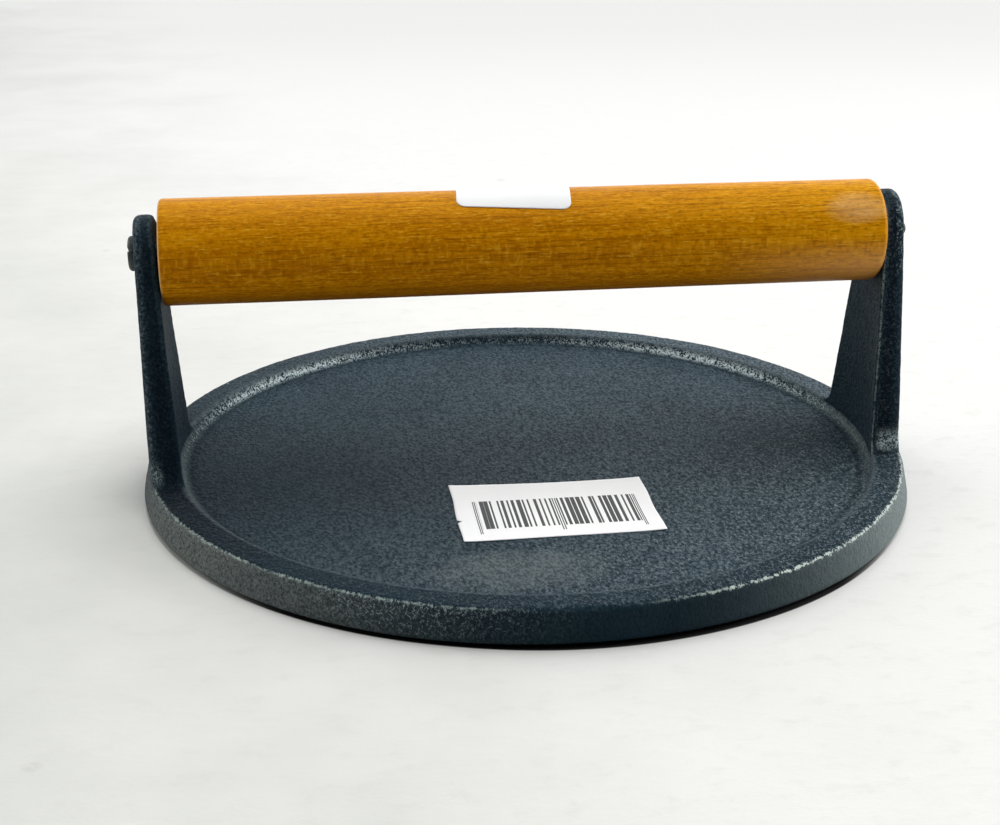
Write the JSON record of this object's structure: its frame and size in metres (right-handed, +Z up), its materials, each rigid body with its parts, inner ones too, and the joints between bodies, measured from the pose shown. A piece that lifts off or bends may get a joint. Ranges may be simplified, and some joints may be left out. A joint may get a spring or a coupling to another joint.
{
  "type": "burger press",
  "caption": "Round cast-iron burger press: a heavy flat plate with a raised rim and upright ears that carry a turned wooden handle on a slotted through screw.",
  "frame": {"origin": "centre of the plate's flat underside, on the surface that the press rests on", "axes": "+X along the handle, from the screw's head to its tip; +Y from front to back, square to the handle; +Z up, square to the plate"},
  "size_m": [0.1815, 0.1814, 0.0699],
  "materials": {
    "cast_iron": "as-cast sand texture under a thin dark coating, worn pale on the rim's edges",
    "varnished_wood": "amber varnish over turned beech, grain along the handle",
    "screw_steel": "dull dark plated steel",
    "paper": "smooth white label paper"
  },
  "bodies": {
    "press": {"press_base": "cast_iron", "handle_screw": "screw_steel", "plate_label": "paper"},
    "grip": {"handle": "varnished_wood", "handle_label": "paper"}
  },
  "joints": [
    {"name": "handle_spin", "type": "hinge", "parent": "press", "child": "grip", "pos_m": [0, 0, 0.0576], "axis": [1, 0, 0], "continuous": true}
  ]
}
